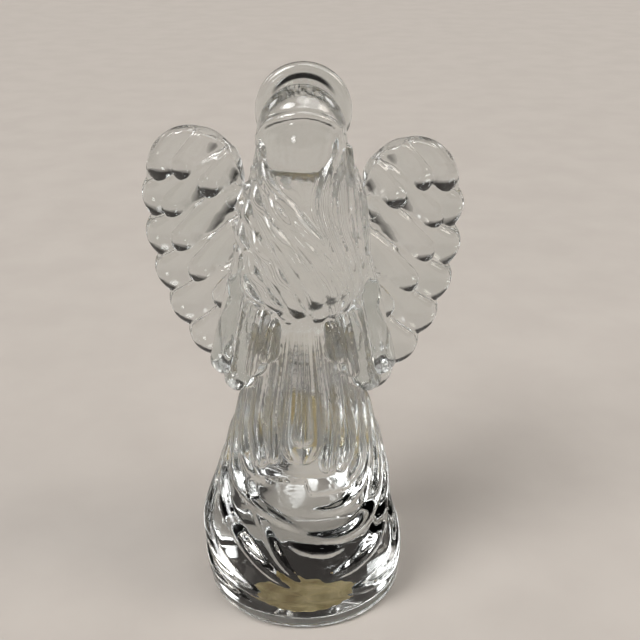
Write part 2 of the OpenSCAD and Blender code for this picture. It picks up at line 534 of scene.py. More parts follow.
@dataclass
class BustForm(ClosedForm):
    """Hair, bust and head: one turned body, with strands that frame the face."""

    NAME = "bust_form"
    FACES = (280, 220)

    waist_z: float
    neck_z: float
    crown_z: float
    sunk: float = 2.5
    shoulder_half: float = 16.5
    drawn_in: float = 1.6
    head_half: float = 11.4
    veil: float = 3.5
    temple: float = 0.54
    hair_front: float = 14.5
    back: float = 11.0
    head_back: float = 0.84
    strand_depth: float = 1.2
    least_radius: float = 6.0
    crown_fade: float = 8.0
    back_locks: int = 9
    locks_from: float = 108.0
    lock_step: float = 18.0
    lock_wave: float = 5.0
    throat: Bulge = Bulge((6, 117.5), (4.5, 4.5), -2.6)

    strands: tuple[Roll, ...] = (
        Roll(((-64, 134), (-56, 129), (-33, 122.5), (-6, 116), (17, 108.5), (32, 100), (46, 91), (52, 86)),
             (1.2, 2.0), (1.0, 2.2), NO_MELT, 4.0),
        Roll(((-56, 131), (-48, 125), (-22, 117), (8, 107), (24, 97), (38, 87)),
             (1.3, 2.0), (1.2, 2.3), NO_MELT, 5.0),
        Roll(((-62, 126), (-48, 119), (-18, 110), (2, 101.5), (16, 92), (24, 84)),
             (1.5, 2.0), (1.5, 2.4), NO_MELT, 5.5),
        Roll(((-70, 121), (-54, 113), (-30, 104), (-10, 94.5), (4, 84)),
             (1.6, 2.1), (1.6, 2.4), NO_MELT, 5.0),
        Roll(((-78, 116), (-62, 107.5), (-42, 98.5), (-24, 90), (-12, 82)),
             (1.6, 2.1), (1.6, 2.4), NO_MELT, 4.5),
        Roll(((-86, 110), (-72, 102), (-56, 94), (-40, 86), (-30, 81)),
             (1.6, 2.1), (1.6, 2.3), NO_MELT, 4.0),
        Roll(((-94, 103), (-82, 96), (-68, 89), (-56, 82)), (1.6, 2.0), (1.6, 2.1), NO_MELT, 3.0),
        Roll(((56, 136), (44, 130), (27, 124), (21, 117), (29, 108), (41, 98), (46, 88)),
             (1.1, 1.8), (1.0, 2.4)),
        Roll(((60, 134), (52, 127), (39, 120), (38, 112), (48, 103), (56, 94), (60, 86)),
             (1.2, 1.9), (1.1, 2.3)),
        Roll(((78, 130), (66, 123), (56, 116), (57, 107), (64, 97), (70, 88)), (1.3, 2.0), (1.2, 2.2)),
        Roll(((94, 124), (82, 117), (73, 109), (76, 98), (82, 88)), (1.4, 1.9), (1.2, 2.0)),
        Roll(((-66, 132), (-52, 137), (-20, 139.6), (14, 140), (46, 137.5), (58, 134)),
             (1.1, 1.1), (0.9, 0.9)),
    )

    def back_strands(self) -> tuple[Roll, ...]:
        """Return the long hair down the back, in gentle waves."""
        made = []
        for k in range(self.back_locks):
            at = self.locks_from + k * self.lock_step
            wave = self.lock_wave * math.cos(k * 1.9)
            route = ((at, 121), (at + wave, 114), (at - wave, 105), (at + wave, 94), (at, 86))
            made.append(Roll(route, (1.3, 2.0), (0.9, 1.8), (0.3, 0.0)))
        return tuple(made)

    def half_axes(self, z: Array) -> tuple[Array, Array, Array]:
        """Return the plain body's outline.

        Args:
            z: The heights.

        Returns:
            The half width, the front's depth and the back's depth at each height.
        """
        t = step_up(z, self.waist_z - self.sunk, self.neck_z - self.waist_z + self.sunk)
        bust = self.shoulder_half * np.sin(np.pi / 2 * np.clip(0.02 + t * 2.1, 0.0, 1.0)) ** 0.62
        drawn = self.shoulder_half - self.drawn_in * step_up(t, 0.72, 0.28) ** 1.3
        up = step_up(z, self.neck_z, self.crown_z - self.neck_z)
        veil = self.head_half + self.veil * np.clip(1.0 - up / self.temple, 0.0, 1.0) ** 1.6
        over = np.clip(up - self.temple, 0.0, 1.0) / (1.0 - self.temple)
        cap = self.head_half * np.sqrt(np.clip(1.0 - over**2, 0.0, 1.0))
        wide = np.where(z < self.neck_z, np.minimum(bust, drawn), np.where(up < self.temple, veil, cap))
        front = wide * self.hair_front / self.shoulder_half
        back_share = (self.back / self.shoulder_half, self.head_back)
        return wide, front, wide * np.interp(z, [self.neck_z, self.neck_z + 14], back_share)

    def rule(self, angle: Array, share: Array) -> Array:
        """Place the vertices of the bust and head, with the strands."""
        low = self.waist_z - self.sunk
        z = low + (self.crown_z - low) * (1.0 - np.cos(np.pi * share)) / 2.0
        wide, front, back = self.half_axes(z)
        seen = from_front(angle)
        mean = (wide + front) / 2
        locks = self.strands + self.back_strands()
        lift = self.strand_depth * relief(locks, seen, z, np.maximum(mean, self.least_radius))
        lift = (lift + self.throat.height(seen, z, mean)) * step_up(wide, 0.0, self.crown_fade)
        x = (wide + lift) * np.cos(angle)
        y = np.where(np.sin(angle) < 0, front + lift, back + lift) * np.sin(angle)
        return np.stack([x, y, z], axis=1)


@dataclass
class FaceForm(ClosedForm):
    """The plain, smooth oval of the face."""

    NAME = "face_form"
    FACES = (96, 64)

    half: tuple[float, float, float] = (10.2, 9.9, 13.4)
    centre: tuple[float, float, float] = (0.0, -1.0, 130.2)

    def rule(self, angle: Array, share: Array) -> Array:
        """Place the vertices of the oval."""
        lat = (share - 0.5) * np.pi
        unit = np.stack([np.cos(lat) * np.cos(angle), np.cos(lat) * np.sin(angle), np.sin(lat)], axis=1)
        return np.array(self.centre) + np.array(self.half) * unit


@dataclass
class HaloForm(ClosedForm):
    """A disc behind the head with a thick round rim."""

    NAME = "halo_form"
    FACES = (160, 96)

    radius: float
    centre: tuple[float, float, float]
    rim: float = 4.4
    rim_half: float = 2.0
    web_half: float = 1.5
    crowding: float = 0.7

    def rule(self, angle: Array, share: Array) -> Array:
        """Place the vertices of the disc, which faces along Y."""
        side = np.where(share < 0.5, -1.0, 1.0)
        r = self.radius * (1.0 - np.abs(share - 0.5) * 2.0) ** self.crowding
        bead = self.radius - self.rim / 2
        away = np.clip(np.abs(r - bead) / (self.rim / 2), 0.0, 1.0)
        slope = self.web_half + (self.rim_half - self.web_half) * np.cos(np.pi / 2 * away) ** 2
        half = np.where(r < bead, slope, self.rim_half * np.sqrt(1.0 - away**2))
        cx, cy, cz = self.centre
        return np.stack([cx + r * np.cos(angle), cy + side * half, cz + r * np.sin(angle)], axis=1)


@dataclass(frozen=True)
class FeatherRow:
    """A row of feathers: their tips lie on a curve, and they fan out along it.

    The falls are how steeply the first and the last feather point down at their tips, and
    the bend is how far each one curls from root to tip, all in degrees.
    """

    tips: tuple[tuple[float, float], tuple[float, float], tuple[float, float]]
    falls: tuple[float, float]
    count: int
    length: float
    half_width: float
    rise: float
    bend: float = 28.0
    lean: float = -0.65
    fullness: float = 0.42
    root: float = 0.6
    stops: tuple[float, ...] = (1.0, 0.65, 0.35)

    def axis(self, k: int, back: float) -> tuple[float, float]:
        """Return a point on a feather's curved middle line.

        Args:
            k: The feather's number in the row.
            back: How far the point lies back from the tip.

        Returns:
            The point on the flat wing.
        """
        a, b, c = (np.array(p) for p in self.tips)
        t = k / (self.count - 1)
        tip = (1 - t) ** 2 * a + 2 * t * (1 - t) * b + t * t * c
        last = math.radians(self.falls[0] + (self.falls[1] - self.falls[0]) * t)
        curl = math.radians(self.bend) / self.length
        here = last - curl * back
        return (tip[0] - (math.sin(last) - math.sin(here)) / curl,
                tip[1] + (math.cos(here) - math.cos(last)) / curl)

    def feathers(self) -> Iterable[Roll]:
        """Yield each feather as a roll on the flat wing, from its root to its round tip."""
        backs = (*(self.length * stop for stop in self.stops), self.half_width)
        width, rise = (self.half_width * self.root, self.half_width), (self.rise * self.root, self.rise)
        for k in range(self.count):
            route = tuple(self.axis(k, back) for back in backs)
            yield Roll(route, width, rise, (0.15, 0.0), lean=self.lean, fullness=self.fullness)

    def tip_discs(self, radius: float) -> Iterable[tuple[float, float, float]]:
        """Yield a disc for each tip, of this radius, that reaches as far as the tip."""
        for k in range(self.count):
            yield *self.axis(k, radius), radius


@dataclass
class WingForm(ClosedForm):
    """One wing: a swept plate with a round top, and three rows of rounded feathers on it."""

    NAME = "wing_form"
    FACES = (340, 210)

    side: float
    drop: float
    rows: tuple[FeatherRow, ...]
    root: tuple[float, float] = (11.0, 10.0)
    sweep: float = 12.0
    dome: float = 1.6
    dome_span: float = 34.0
    middle: tuple[float, float] = (24.0, 98.0)
    top_disc: tuple[float, float, float] = (29.2, 119.0, 13.7)
    inner_disc: tuple[float, float, float] = (21.0, 97.0, 13.5)
    tip_radius: float = 7.4
    least_reach: float = 4.0
    half: tuple[float, float] = (1.2, 2.2)
    thick_from: float = 110.0
    thick_over: float = 16.0
    top_calm: float = 0.35
    rim: float = 1.5
    back_share: float = 0.7
    crowding: float = 0.8

    def edge(self, angle: Array) -> Array:
        """Return how far the plate reaches from its middle.

        The plate is the union of discs: its round top, its inner part, and one disc at the
        tip of each feather of the outermost row.

        Args:
            angle: The angles round the middle, in radians.

        Returns:
            The reach at each angle.
        """
        discs = [self.top_disc, self.inner_disc, *self.rows[0].tip_discs(self.tip_radius)]
        way = np.stack([np.cos(angle), np.sin(angle)])
        reach = np.full_like(angle, self.least_reach)
        for x, z, radius in discs:
            to = np.array([x - self.middle[0], z - self.middle[1]])
            along = to @ way
            inside = along**2 - to @ to + radius**2
            reach = np.maximum(reach, np.where(inside > 0, along + np.sqrt(np.maximum(inside, 0.0)), 0.0))
        return reach

    def rule(self, angle: Array, share: Array) -> Array:
        """Place the vertices of the plate, with its feathers in relief on both faces."""
        reach = self.edge(angle)
        r = reach * (1.0 - np.abs(share - 0.5) * 2.0) ** self.crowding
        x = self.middle[0] + r * np.cos(angle)
        z = self.middle[1] + r * np.sin(angle)
        up = step_up(z, self.thick_from, self.thick_over)
        half = self.half[0] + (self.half[1] - self.half[0]) * eased(up)
        feathers = [feather for row in self.rows for feather in row.feathers()]
        lift = relief(feathers, x, z, np.full_like(x, FLAT_RADIUS)) * (1.0 - self.top_calm * up)
        rounding = np.sqrt(1.0 - np.clip(1.0 - (reach - r) / self.rim, 0.0, 1.0) ** 2)
        is_front = share < 0.5
        y = np.where(is_front, -1.0, self.back_share) * lift + np.where(is_front, -half, half)
        return self.placed(np.stack([x, y * rounding, z], axis=1))

    def placed(self, points: Array) -> Array:
        """Sweep a flat wing back about its root, and put it on its own side.

        Args:
            points: The flat wing's points.

        Returns:
            The points where they belong.
        """
        root_x, root_y = self.root
        local = points - np.array([root_x, 0.0, 0.0])
        local[:, 1] -= self.dome * np.sin(step_up(local[:, 0], 0.0, self.dome_span) * np.pi)
        local = turned(local, self.sweep) + np.array([root_x, root_y, -self.drop])
        local[:, 0] *= self.side
        return local


@dataclass(frozen=True)
class Lobe(ClosedForm):
    """A hanging, round-ended lobe of a sleeve, from its top to its lower end."""

    NAME = "lobe_form"
    FACES = (64, 64)

    top: tuple[float, float, float]
    low: tuple[float, float, float]
    half_width: float
    half_depth: float
    side: float = 1.0
    start_size: float = 0.45
    flutes: int = 4
    flute_depth: float = 0.25

    def rule(self, angle: Array, share: Array) -> Array:
        """Place the vertices of the lobe, mirrored where it hangs on the -X side."""
        t = (1.0 + np.cos(np.pi * share)) / 2.0
        swell = self.start_size + (1.0 - self.start_size) * np.clip(t, 0.0, 1.0) ** 0.8
        cap = self.half_width / (self.top[2] - self.low[2])
        end = np.sqrt(np.clip(1.0 - step_up(t, 1.0 - cap, cap) ** 2, 0.0, 1.0))
        start = np.sqrt(np.clip(1.0 - step_up(cap - t, 0.0, cap) ** 2, 0.0, 1.0))
        wave = 1.0 + self.flute_depth / self.half_width * np.cos(self.flutes * angle) * t
        size = swell * end * start * wave
        top, low = np.array(self.top), np.array(self.low)
        middle = top + (low - top) * t[:, None]
        x = self.side * (middle[:, 0] + self.half_width * size * np.cos(angle))
        y = middle[:, 1] + self.half_depth * size * np.sin(angle)
        return np.stack([x, y, middle[:, 2]], axis=1)


@dataclass
class RidgeForm(ClosedForm):
    """The fluted ridge down the back that the wings spring from."""

    NAME = "ridge_form"
    FACES = (180, 60)

    half: tuple[float, float, float] = (13.0, 4.8, 23.0)
    centre: tuple[float, float] = (9.0, 98.0)
    flutes: int = 22
    flute_depth: float = 0.07
    squareness: tuple[float, float] = (0.6, 0.8)

    def rule(self, angle: Array, share: Array) -> Array:
        """Place the vertices of the ridge."""
        lat = (share - 0.5) * np.pi
        size = np.cos(lat) ** self.squareness[0] * (1.0 + self.flute_depth * np.cos(self.flutes * angle))
        across = np.sign(np.cos(angle)) * np.abs(np.cos(angle)) ** self.squareness[1]
        x = self.half[0] * size * across
        y = self.centre[0] + self.half[1] * size * np.sin(angle)
        z = self.centre[1] + self.half[2] * np.sin(lat)
        return np.stack([x, y, z], axis=1)


# ---------------------------------------------------------------- finishes


def linear(code: str) -> Colour:
    """Turn an sRGB hex code into a linear, opaque colour."""
    parts = [int(code.lstrip("#")[k:k + 2], 16) / 255.0 for k in (0, 2, 4)]
    r, g, b = (v / 12.92 if v <= 0.04045 else ((v + 0.055) / 1.055) ** 2.4 for v in parts)
    return r, g, b, 1.0


def per_mm(size_mm: float) -> float:
    """Return the scale of a pattern whose features are this many millimetres wide."""
    return 1.0 / (size_mm * MM)


def add_node(tree: Tree, kind: str, links: dict[str | int, bpy.types.NodeSocket] | None = None,
             inputs: dict[str | int, object] | None = None, **settings: object) -> bpy.types.Node:
    """Add a node to a tree with its settings, input values and links.

    Args:
        tree: The node tree.
        kind: The node's type name without its ShaderNode prefix.
        links: Output sockets to link, by the name or number of the new node's input.
        inputs: Values for the new node's inputs, by name or number.
        settings: Properties of the node.

    Returns:
        The new node.
    """
    node = tree.nodes.new("ShaderNode" + kind)
    for key, value in settings.items():
        setattr(node, key, value)
    for key, value in (inputs or {}).items():
        node.inputs[key].default_value = value
    for key, socket in (links or {}).items():
        tree.links.new(socket, node.inputs[key])
    return node


def new_material(name: str) -> tuple[bpy.types.Material, Tree]:
    """Return an empty node material and its tree."""
    material = bpy.data.materials.new(name)
    material.use_nodes = True
    material.node_tree.nodes.clear()
    return material, material.node_tree


def finish_tree(tree: Tree, shader: bpy.types.Node) -> None:
    """Link a shader to the material's output."""
    add_node(tree, "OutputMaterial", {"Surface": shader.outputs[0]})


def ramp(node: bpy.types.Node, stops: Sequence[tuple[float, Colour]]) -> None:
    """Set the stops of a colour ramp.

    Args:
        node: The colour ramp's node.
        stops: Each stop's place from 0 to 1, and its colour.
    """
    elements = node.color_ramp.elements
    while len(elements) > 1:
        elements.remove(elements[-1])
    elements[0].position, elements[0].color = stops[0]
    for place, colour in stops[1:]:
        elements.new(place).color = colour


@dataclass(frozen=True)
class LeadCrystal:
    """Lead crystal, pressed and fire polished: clear, bright, with a faint ripple from the mould.

    The ripple shows as small waves in the highlights, and the cloud as a slight unevenness
    of tint and polish.
    """

    clear: str = "#EEF0EF"
    faint: str = "#E5E9E7"
    ior: float = 1.57
    ripple_mm: float = 2.6
    ripple_depth_mm: float = 0.05
    ripple_strength: float = 0.12
    cloud_mm: float = 16.6667
    haze: float = 0.025

    def material(self) -> bpy.types.Material:
        """Return the glass."""
        material, tree = new_material("lead_crystal_pressed")
        place = add_node(tree, "TexCoord").outputs["Object"]
        ripple = add_node(tree, "TexNoise", {"Vector": place},
                          {"Scale": per_mm(self.ripple_mm), "Detail": 1.0, "Roughness": 0.4})
        cloud = add_node(tree, "TexNoise", {"Vector": place},
                         {"Scale": per_mm(self.cloud_mm), "Detail": 2.0}).outputs["Fac"]
        tint = add_node(tree, "ValToRGB", {"Fac": cloud})
        ramp(tint, [(0.3, linear(self.clear)), (0.7, linear(self.faint))])
        haze = add_node(tree, "MapRange", {"Value": cloud},
                        {"From Min": 0.35, "From Max": 0.75, "To Min": 0.0, "To Max": self.haze})
        bump = add_node(tree, "Bump", {"Height": ripple.outputs["Fac"]},
                        {"Strength": self.ripple_strength, "Distance": self.ripple_depth_mm * MM})
        shader = add_node(tree, "BsdfPrincipled",
                          {"Base Color": tint.outputs["Color"], "Roughness": haze.outputs["Result"],
                           "Normal": bump.outputs["Normal"]},
                          {"IOR": self.ior, "Transmission Weight": 1.0})
        finish_tree(tree, shader)
        return material


@dataclass(frozen=True)
class OpticalBond:
    """A face inside the casting where two regions join: light goes straight on through it."""

    clear: str = "#FFFFFF"

    def material(self) -> bpy.types.Material:
        """Return the clear bond."""
        material, tree = new_material("optical_bond")
        finish_tree(tree, add_node(tree, "BsdfTransparent", inputs={"Color": linear(self.clear)}))
        return material


@dataclass(frozen=True)
class GoldFoil:
    """Hot-stamped gold foil on paper: a dull, slightly creased and worn metal.

    The creases break up its highlights, and the wear makes it duller in patches.
    """

    bright: str = "#DECA94"
    dull: str = "#A48D58"
    metallic: float = 0.5
    crease_mm: float = 1.2
    crease_depth_mm: float = 0.08
    crease_strength: float = 0.5
    wear_mm: float = 4.54545
    roughness: tuple[float, float] = (0.5, 0.28)

    def material(self) -> bpy.types.Material:
        """Return the foil."""
        material, tree = new_material("gold_foil_paper")
        place = add_node(tree, "TexCoord").outputs["Object"]
        creases = add_node(tree, "TexNoise", {"Vector": place},
                           {"Scale": per_mm(self.crease_mm), "Detail": 3.0})
        wear = add_node(tree, "TexNoise", {"Vector": place},
                        {"Scale": per_mm(self.wear_mm), "Detail": 4.0}).outputs["Fac"]
        colour = add_node(tree, "ValToRGB", {"Fac": wear})
        ramp(colour, [(0.35, linear(self.dull)), (0.65, linear(self.bright))])
        rough = add_node(tree, "MapRange", {"Value": wear},
                         {"To Min": self.roughness[0], "To Max": self.roughness[1]})
        bump = add_node(tree, "Bump", {"Height": creases.outputs["Fac"]},
                        {"Strength": self.crease_strength, "Distance": self.crease_depth_mm * MM})
        shader = add_node(tree, "BsdfPrincipled",
                          {"Base Color": colour.outputs["Color"], "Roughness": rough.outputs["Result"],
                           "Normal": bump.outputs["Normal"]}, {"Metallic": self.metallic})
        finish_tree(tree, shader)
        return material


@dataclass(frozen=True)
class PaleFloor:
    """Plain matt studio board, with the faint mottle of painted paper."""

    light: str = "#A59E97"
    dark: str = "#A19A93"
    mottle_mm: float = 33.3333
    roughness: float = 0.7

    def material(self) -> bpy.types.Material:
        """Return the board."""
        material, tree = new_material("matt_studio_board")
        place = add_node(tree, "TexCoord").outputs["Object"]
        mottle = add_node(tree, "TexNoise", {"Vector": place},
                          {"Scale": per_mm(self.mottle_mm), "Detail": 3.0})
        colour = add_node(tree, "ValToRGB", {"Fac": mottle.outputs["Fac"]})
        ramp(colour, [(0.35, linear(self.dark)), (0.65, linear(self.light))])
        shader = add_node(tree, "BsdfPrincipled", {"Base Color": colour.outputs["Color"]},
                          {"Roughness": self.roughness})
        finish_tree(tree, shader)
        return material


# ---------------------------------------------------------------- the casting


class Keep(Enum):
    """Which part of a body a cut keeps."""

    INSIDE = "INTERSECT"
    OUTSIDE = "DIFFERENCE"


@dataclass(frozen=True)
class Bonds:
    """Where the bond faces lie, in millimetres."""

    hem_z: float
    waist_z: float
    neck_z: float
    halo_y: float
    wing_y: float


class SkinNormals:
    """Smooth normals of the fused skin, looked up by place."""

    def __init__(self, body: Form) -> None:
        """Keep the skin's triangles and vertex normals.

        Args:
            body: The fused skin.
        """
        mesh = body.data
        mesh.calc_loop_triangles()
        self.triangles: list[tuple[int, int, int]] = [tuple(t.vertices) for t in mesh.loop_triangles]
        self.points: list[Vector] = [v.co.copy() for v in mesh.vertices]
        self.normals: list[Vector] = [v.normal.copy() for v in mesh.vertices]
        self.tree = BVHTree.FromPolygons(self.points, self.triangles)

    def at(self, place: Vector) -> Vector:
        """Return the skin's normal at the point nearest to a place.

        Args:
            place: The place, in metres.

        Returns:
            The unit normal, blended between the corners of the triangle there.
        """
        hit, _, index, _ = self.tree.find_nearest(place)
        i, j, k = self.triangles[index]
        a, b, c = self.points[i], self.points[j], self.points[k]
        n = (b - a).cross(c - a)
        area = n.length_squared or 1e-20
        u = (c - b).cross(hit - b).dot(n) / area
        v = (a - c).cross(hit - c).dot(n) / area
        mixed = self.normals[i] * u + self.normals[j] * v + self.normals[k] * (1 - u - v)
        return mixed.normalized()


@dataclass
class Casting:
    """The whole glass: its forms fused into one skin, then divided at its bond faces."""

    glass: bpy.types.Material
    bond: bpy.types.Material
    voxel_mm: float = 0.42
    soften: int = 3
    shrink: float = 0.5
    swell: float = -0.51
    ground_mm: float = 0.14

    def fuse(self, forms: Sequence[Form]) -> Form:
        """Join closed forms into one skin, as glass runs together in a mould.

        Args:
            forms: The overlapping closed forms.

        Returns:
            One closed object with soft inner corners and a flat underside.
        """
        only(*forms)
        bpy.ops.object.join()
        body = bpy.context.object
        body.name = "casting"
        apply_modifier(body, "REMESH", mode="VOXEL", voxel_size=self.voxel_mm * MM)
        for _ in range(self.soften):
            apply_modifier(body, "SMOOTH", factor=self.shrink, iterations=1)
            apply_modifier(body, "SMOOTH", factor=self.swell, iterations=1)
        apply_modifier(body, "SMOOTH", factor=self.shrink, iterations=1)
        points = positions(body)
        points[:, 2] = np.where(points[:, 2] < self.ground_mm, 0.0, points[:, 2])
        move_to(body, points)
        body.data.materials.clear()
        body.data.materials.append(self.glass)
        body.data.polygons.foreach_set("material_index", np.zeros(len(body.data.polygons), dtype=np.int32))
        LOG.info("casting: %d faces", len(body.data.polygons))
        return body

    def as_cutter(self, obj: Form) -> Form:
        """Give a cutter the bond's material, which its faces pass on to the cut."""
        obj.data.materials.clear()
        obj.data.materials.append(self.bond)
        return obj

    def beyond(self, x: float = -CUT_FAR, y: float = -CUT_FAR, z: float = CUT_LOW) -> Form:
        """Make a cutter that fills the space beyond a plane.

        Args:
            x: Where it starts along X.
            y: Where it starts along Y.
            z: Where it starts along Z.

        Returns:
            A block from there to beyond the glass, to the right, behind and above.
        """
        low, high = np.array([x, y, z]), np.array([CUT_FAR, CUT_FAR, CUT_TOP])
        bpy.ops.object.select_all(action="DESELECT")
        bpy.ops.mesh.primitive_cube_add(size=1.0, location=tuple((low + high) / 2 * MM),
                                        scale=tuple((high - low) * MM))
        bpy.ops.object.transform_apply(location=True, rotation=True, scale=True)
        return self.as_cutter(bpy.context.object)

    def cut(self, body: Form, cutter: Form, keep: Keep, region: str) -> Form:
        """Cut a copy of a body.

        Args:
            body: The body, which stays as it is.
            cutter: The closed form to cut it with.
            keep: Which part to keep.
            region: Name of the region that is kept.

        Returns:
            The part of the body inside or outside the cutter, as a new object.
        """
        only(body)
        bpy.ops.object.duplicate()
        piece = bpy.context.object
        piece.name = f"{region}_glass"
        apply_modifier(piece, "BOOLEAN", operation=keep.value, object=cutter, solver="MANIFOLD",
                       material_mode="TRANSFER")
        return piece

    def split(self, body: Form, cutter: Form, inside: str, outside: str) -> tuple[Form, Form]:
        """Divide a body by a cutter into two regions, and remove the body and the cutter.

        Args:
            body: The body.
            cutter: The closed form to divide it with.
            inside: Name of the region inside the cutter.
            outside: Name of the region outside it.

        Returns:
            The two pieces, the inside one first.
        """
        pair = self.cut(body, cutter, Keep.INSIDE, inside), self.cut(body, cutter, Keep.OUTSIDE, outside)
        bpy.data.objects.remove(body)
        bpy.data.objects.remove(cutter)
        return pair

    def divide(self, body: Form, core: Form, bonds: Bonds) -> dict[str, Form]:
        """Divide the casting into its named regions.

        Args:
            body: The fused skin.
            core: A closed form that holds everything but the wings and sleeves.
            bonds: Where the bond faces lie.

        Returns:
            The pieces by name.
        """
        middle, limbs = self.split(body, self.as_cutter(core), "middle", "limbs")
        wings, sleeves = self.split(limbs, self.beyond(y=bonds.wing_y), "wings", "sleeves")
        right_wing, left_wing = self.split(wings, self.beyond(x=0.0), "right_wing", "left_wing")
        right_sleeve, left_sleeve = self.split(sleeves, self.beyond(x=0.0), "right_sleeve", "left_sleeve")
        top, rest = self.split(middle, self.beyond(z=bonds.neck_z), "top", "rest")
        bust, lower = self.split(rest, self.beyond(z=bonds.waist_z), "bust", "lower")
        robe, foot = self.split(lower, self.beyond(z=bonds.hem_z), "robe", "foot")
        halo, head = self.split(top, self.beyond(y=bonds.halo_y), "halo", "head")
        torso, mantle = self.split(bust, self.beyond(y=0.0), "torso", "mantle")
        return {"foot": foot, "robe": robe, "torso": torso, "mantle": mantle, "head": head,
                "halo": halo, "left_wing": left_wing, "right_wing": right_wing,
                "left_sleeve": left_sleeve, "right_sleeve": right_sleeve}

    def polish(self, piece: Form, normals: SkinNormals) -> None:
        """Shade a piece smoothly, with the whole casting's normals right up to each bond.

        Args:
            piece: The piece.
            normals: The normals of the whole casting.
        """
        weld(piece)
        mesh = piece.data
        slots = [m.name for m in mesh.materials]
        bond_slot = slots.index(self.bond.name) if self.bond.name in slots else -1
        mesh.polygons.foreach_set("use_smooth", np.ones(len(mesh.polygons), dtype=bool))
        corners = read(mesh.loops, "vertex_index", kind=np.int32)
        owner = np.repeat(np.arange(len(mesh.polygons)), read(mesh.polygons, "loop_total", kind=np.int32))
        is_bond = read(mesh.polygons, "material_index", kind=np.int32)[owner] == bond_slot
        flat = read(mesh.polygons, "normal", 3)[owner]
        smooth = read(mesh.vertices, "normal", 3)
        for rim_vertex in np.unique(corners[is_bond]):
            smooth[rim_vertex] = normals.at(mesh.vertices[rim_vertex].co)
        loops = np.where(is_bond[:, None], flat, smooth[corners])
        mesh.normals_split_custom_set(loops.tolist())


@dataclass
class CoreCutter(ClosedForm):
    """A closed form that holds the foot, robe, bust and head but no wing or sleeve.

    It follows the body's plain outline at a margin, which grows below the sleeves and round
    the head. Each change of outline is spread over the same height.
    """

    NAME = "core_cutter"
    FACES = (120, 140)

    robe: RobeForm
    bust: BustForm
    margin: float = 2.7
    below: float = 6.0
    past_crown: float = 12.0
    spread: float = 6.0
    bust_from: float = 9.0
    join_under: float = 2.0
    least_half: tuple[float, float, float] = (15.5, 13.5, 11.0)
    skirt_z: float = 56.0
    skirt_grow: float = 24.0
    head_grow: tuple[float, float] = (4.0, 2.0)

    def rule(self, angle: Array, share: Array) -> Array:
        """Place the cutter's vertices just outside the body's own surface."""
        bust = self.bust
        z = -self.below + (bust.crown_z + self.past_crown) * (1.0 - np.cos(np.pi * share)) / 2.0
        is_front = np.sin(angle) < 0
        wide, deep = self.robe.half_axes(z)
        upper = bust.half_axes(np.clip(z, bust.waist_z + self.bust_from, bust.crown_z))
        bust_wide, front, back = (np.maximum(*pair) for pair in zip(upper, self.least_half))
        blend = step_up(z, bust.waist_z - self.join_under, self.spread)
        wide = wide * (1 - blend) + bust_wide * blend
        deep = deep * (1 - blend) + np.where(is_front, front, back) * blend
        low = step_up(self.skirt_z - z, 0.0, self.spread) * self.skirt_grow
        high = step_up(z, bust.neck_z, self.spread) * np.where(is_front, *self.head_grow)
        grow = self.margin + low + high
        cap = np.clip(np.minimum(share, 1.0 - share) / 0.01, 0.0, 1.0)
        x = (wide + grow) * cap * np.cos(angle)
        y = (deep + grow) * cap * np.sin(angle)
        return np.stack([x, y, z], axis=1)


@dataclass
class FoilLabel(ClosedForm):
    """The round foil label in the recess: a scalloped seal with a plain beaded border.

    Places and half widths of its bead row, ring and petals are shares of its radius.
    """

    NAME = "foil_label_seal"
    FACES = (224, 120)

    centre: tuple[float, float]
    ceiling: float
    radius: float
    thick: float = 0.18
    sunk: float = 0.08
    scallops: int = 18
    scallop_depth: float = 0.045
    rim_from: float = 0.9
    bead_at: float = 0.84
    bead_half: float = 0.07
    bead_rise: float = 0.10
    ring_at: float = 0.68
    ring_half: float = 0.035
    petals: int = 8
    petals_to: float = 0.55
    petals_from: float = 0.2
    line_rise: float = 0.07
    crease_angle: float = 35.0
    foil: GoldFoil = GoldFoil()

    def emboss(self, angle: Array, r: Array) -> Array:
        """Return the height of the embossing.

        Args:
            angle: Angle round the label, in radians.
            r: Share of the radius.

        Returns:
            The height in millimetres.
        """
        from_bead = r - self.bead_at
        row = np.clip(np.cos(from_bead / self.bead_half * np.pi / 2), 0, 1)
        row = row * (np.abs(from_bead) < self.bead_half)
        beads = self.bead_rise * row * (0.5 + 0.5 * np.cos(2 * self.scallops * angle))
        ring = self.line_rise * (np.abs(r - self.ring_at) < self.ring_half)
        leaf = (0.5 + 0.5 * np.cos(self.petals * angle)) * step_up(r, 0.0, self.petals_from)
        return beads + ring + self.line_rise * (r < self.petals_to) * leaf

    def rule(self, angle: Array, share: Array) -> Array:
        """Place the label's vertices; both of its sides are embossed."""
        r = 1.0 - np.abs(share - 0.5) * 2.0
        scallop = 1.0 - self.scallop_depth * (1.0 - np.abs(np.cos(self.scallops / 2 * angle)))
        radius = self.radius * np.clip(r * 1.02, 0, 1) * np.where(r > self.rim_from, scallop, 1.0)
        top = self.ceiling + self.sunk
        z = np.where(share > 0.5, top, top - self.thick) + self.emboss(angle, r)
        x = self.centre[0] + radius * np.cos(angle)
        y = self.centre[1] + radius * np.sin(angle)
        return np.stack([x, y, z], axis=1)

    def build(self) -> Form:
        """Return the finished label."""
        label = self.shape()
        weld(label)
        label.data.materials.append(self.foil.material())
        only(label)
        bpy.ops.object.shade_smooth_by_angle(angle=math.radians(self.crease_angle))
        return label


# ---------------------------------------------------------------- the studio


